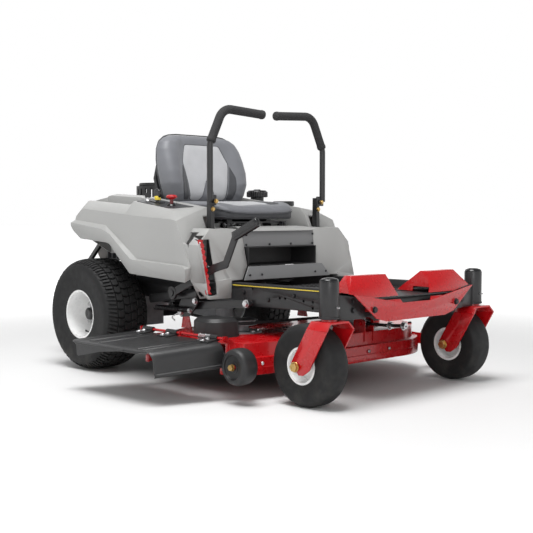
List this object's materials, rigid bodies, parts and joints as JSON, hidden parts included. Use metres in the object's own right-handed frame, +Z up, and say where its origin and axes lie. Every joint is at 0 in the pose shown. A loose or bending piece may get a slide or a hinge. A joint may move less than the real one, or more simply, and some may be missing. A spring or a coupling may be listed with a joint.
{
  "type": "zero turn mower",
  "caption": "Ride-on mower with twin swing-out control levers, high-back seat, rear engine, side-discharge deck and swivelling front casters.",
  "frame": {"origin": "centre of the machine's footprint on the ground, at the bottom centre of its box", "axes": "+Z up, the machine faces -Y, and its discharge side is -X"},
  "size_m": [1.419, 1.8794, 1.0618],
  "materials": {
    "frame_black": "satin black powder coat",
    "machine_red": "gloss red powder coat",
    "cover_grey": "light grey moulded plastic, satin",
    "panel_grey": "mid grey satin paint",
    "bin_black": "dark textured plastic",
    "console_black": "black control panel",
    "engine_black": "black engine paint",
    "shroud_black": "black moulded shroud",
    "muffler_steel": "heat-proof dark paint",
    "tank_black": "black polyethylene",
    "battery_black": "black case",
    "drive_alloy": "cast alloy",
    "belt_rubber": "matt rubber",
    "bolt_black": "black oxide",
    "grip_foam": "soft foam",
    "seat_vinyl": "grey grained vinyl",
    "seat_black": "black seat shell",
    "blade_steel": "hardened steel",
    "chute_black": "black moulded chute",
    "tyre": "black tyre rubber",
    "rim_white": "gloss white",
    "knob_red": "red knob",
    "knob_black": "black knob"
  },
  "bodies": {
    "chassis": {"main_frame": "frame_black", "front_beam": "frame_black", "rear_frame": "frame_black", "foot_platform": "bin_black", "footrest": "machine_red", "fender_right": "cover_grey", "fender_left": "cover_grey", "pod_right": "cover_grey", "pod_left": "cover_grey", "dash_panel": "panel_grey", "storage_bin": "bin_black", "lower_panel": "panel_grey", "height_gate": "machine_red", "console_panel": "console_black", "engine_block": "engine_black", "engine_shroud": "shroud_black", "muffler": "muffler_steel", "fuel_tank": "tank_black", "battery": "battery_black", "transaxles": "drive_alloy", "chassis_bolts": "bolt_black", "drive_belt": "belt_rubber"},
    "drive_wheel_right": {"tyre_rear_right": "tyre", "wheel_rear_right": "rim_white"},
    "drive_wheel_left": {"tyre_rear_left": "tyre", "wheel_rear_left": "rim_white"},
    "caster_right": {"caster_fork_right": "machine_red"},
    "caster_left": {"caster_fork_left": "machine_red"},
    "caster_wheel_right": {"tyre_front_right": "tyre", "wheel_front_right": "rim_white"},
    "caster_wheel_left": {"tyre_front_left": "tyre", "wheel_front_left": "rim_white"},
    "post_right": {"control_post_right": "frame_black"},
    "post_left": {"control_post_left": "frame_black"},
    "lever_right": {"lever_tube_right": "frame_black", "lever_grip_right": "grip_foam"},
    "lever_left": {"lever_tube_left": "frame_black", "lever_grip_left": "grip_foam"},
    "seat_mount": {"seat_plate": "frame_black"},
    "seat": {"seat_shell": "seat_black", "seat_cushion": "seat_vinyl", "seat_back": "seat_vinyl"},
    "height_linkage": {"height_lever": "frame_black", "lift_shaft": "frame_black"},
    "lift_links": {"lift_arms": "frame_black"},
    "deck": {"deck_shell": "machine_red", "deck_fittings": "machine_red", "spindle_housings": "drive_alloy", "belt_covers": "bin_black", "deck_belt": "belt_rubber"},
    "chute": {"discharge_chute": "chute_black"},
    "gauge_wheel_right": {"roller_right": "tyre"},
    "gauge_wheel_left": {"roller_left": "tyre"},
    "cutter_right": {"blade_right": "blade_steel"},
    "cutter_left": {"blade_left": "blade_steel"},
    "crank": {"crank_pulley": "blade_steel"},
    "clutch_knob": {"blade_clutch_knob": "knob_red"},
    "throttle": {"throttle_lever": "knob_black"},
    "key": {"ignition_key": "knob_black"},
    "cap": {"fuel_cap": "knob_black"}
  },
  "joints": [
    {"name": "drive_wheel_right_spin", "type": "hinge", "parent": "chassis", "child": "drive_wheel_right", "pos_m": [-0.3155, 0.40075, 0.2285], "axis": [1, 0, 0], "continuous": true},
    {"name": "drive_wheel_left_spin", "type": "hinge", "parent": "chassis", "child": "drive_wheel_left", "pos_m": [0.5265, 0.40075, 0.2285], "axis": [1, 0, 0], "continuous": true},
    {"name": "caster_right_swivel", "type": "hinge", "parent": "chassis", "child": "caster_right", "pos_m": [-0.3035, -0.88425, 0.35], "axis": [0, 0, 1], "continuous": true},
    {"name": "caster_left_swivel", "type": "hinge", "parent": "chassis", "child": "caster_left", "pos_m": [0.5145, -0.88425, 0.35], "axis": [0, 0, 1], "continuous": true},
    {"name": "caster_wheel_right_spin", "type": "hinge", "parent": "caster_right", "child": "caster_wheel_right", "pos_m": [-0.3035, -0.80025, 0.1395], "axis": [1, 0, 0], "continuous": true},
    {"name": "caster_wheel_left_spin", "type": "hinge", "parent": "caster_left", "child": "caster_wheel_left", "pos_m": [0.5145, -0.80025, 0.1395], "axis": [1, 0, 0], "continuous": true},
    {"name": "post_right_drive", "type": "hinge", "parent": "chassis", "child": "post_right", "pos_m": [-0.1905, -0.16725, 0.43], "axis": [1, 0, 0], "range_deg": [-4.5, 11]},
    {"name": "post_left_drive", "type": "hinge", "parent": "chassis", "child": "post_left", "pos_m": [0.4015, -0.16725, 0.43], "axis": [1, 0, 0], "range_deg": [-4.5, 11]},
    {"name": "lever_right_swing_out", "type": "hinge", "parent": "post_right", "child": "lever_right", "pos_m": [-0.1905, -0.18325, 0.69], "axis": [0, -1, 0], "range_deg": [0, 35]},
    {"name": "lever_left_swing_out", "type": "hinge", "parent": "post_left", "child": "lever_left", "pos_m": [0.4015, -0.18325, 0.69], "axis": [0, 1, 0], "range_deg": [0, 35]},
    {"name": "seat_tip", "type": "hinge", "parent": "chassis", "child": "seat_mount", "pos_m": [0.1055, -0.10525, 0.597], "axis": [1, 0, 0], "range_deg": [0, 40]},
    {"name": "seat_slide", "type": "slide", "parent": "seat_mount", "child": "seat", "axis": [0, 1, 0], "range_m": [-0.02, 0.02]},
    {"name": "deck_lift", "type": "slide", "parent": "chassis", "child": "deck", "axis": [0, 0, 1], "range_m": [-0.05, 0.026], "deforming": ["deck_belt"]},
    {"name": "height_lever_tilt", "type": "hinge", "parent": "chassis", "child": "height_linkage", "pos_m": [-0.2765, -0.03925, 0.335], "axis": [-1, 0, 0], "range_deg": [-17.3, 9.2]},
    {"name": "lift_link_tilt", "type": "hinge", "parent": "chassis", "child": "lift_links", "pos_m": [-0.2145, -0.39725, 0.312], "axis": [1, 0, 0], "range_deg": [-9, 5]},
    {"name": "chute_lift", "type": "hinge", "parent": "deck", "child": "chute", "pos_m": [-0.4465, -0.29925, 0.214], "axis": [0, 1, 0], "range_deg": [0, 75]},
    {"name": "gauge_wheel_right_spin", "type": "hinge", "parent": "deck", "child": "gauge_wheel_right", "pos_m": [-0.4545, -0.61725, 0.129], "axis": [1, 0, 0], "continuous": true},
    {"name": "gauge_wheel_left_spin", "type": "hinge", "parent": "deck", "child": "gauge_wheel_left", "pos_m": [0.6655, -0.59925, 0.129], "axis": [1, 0, 0], "continuous": true},
    {"name": "crank_spin", "type": "hinge", "parent": "chassis", "child": "crank", "pos_m": [0.1055, 0.53075, 0.26], "axis": [0, 0, 1], "continuous": true},
    {"name": "cutter_right_spin", "type": "hinge", "parent": "deck", "child": "cutter_right", "pos_m": [-0.1595, -0.29925, 0.15], "axis": [0, 0, 1], "continuous": true},
    {"name": "cutter_left_spin", "type": "hinge", "parent": "deck", "child": "cutter_left", "pos_m": [0.3705, -0.37725, 0.15], "axis": [0, 0, 1], "continuous": true},
    {"name": "clutch_knob_pull", "type": "slide", "parent": "chassis", "child": "clutch_knob", "axis": [0, 0, 1], "range_m": [0, 0.015]},
    {"name": "throttle_tilt", "type": "hinge", "parent": "chassis", "child": "throttle", "pos_m": [-0.2365, 0.10075, 0.65], "axis": [1, 0, 0], "range_deg": [-15, 15]},
    {"name": "key_turn", "type": "hinge", "parent": "chassis", "child": "key", "pos_m": [-0.2365, 0.16575, 0.69], "axis": [0, 0, 1], "range_deg": [0, 80]},
    {"name": "fuel_cap_turn", "type": "hinge", "parent": "chassis", "child": "cap", "pos_m": [0.4555, 0.25075, 0.73], "axis": [0, 0, 1], "range_deg": [0, 150]}
  ],
  "couplings": [
    {"joint": "height_lever_tilt", "follows": "deck_lift", "rad_per_m": 5.9341},
    {"joint": "lift_link_tilt", "follows": "deck_lift", "rad_per_m": 2.9322},
    {"joint": "cutter_right_spin", "follows": "crank_spin", "ratio": 1.07},
    {"joint": "cutter_left_spin", "follows": "crank_spin", "ratio": 1.07}
  ]
}
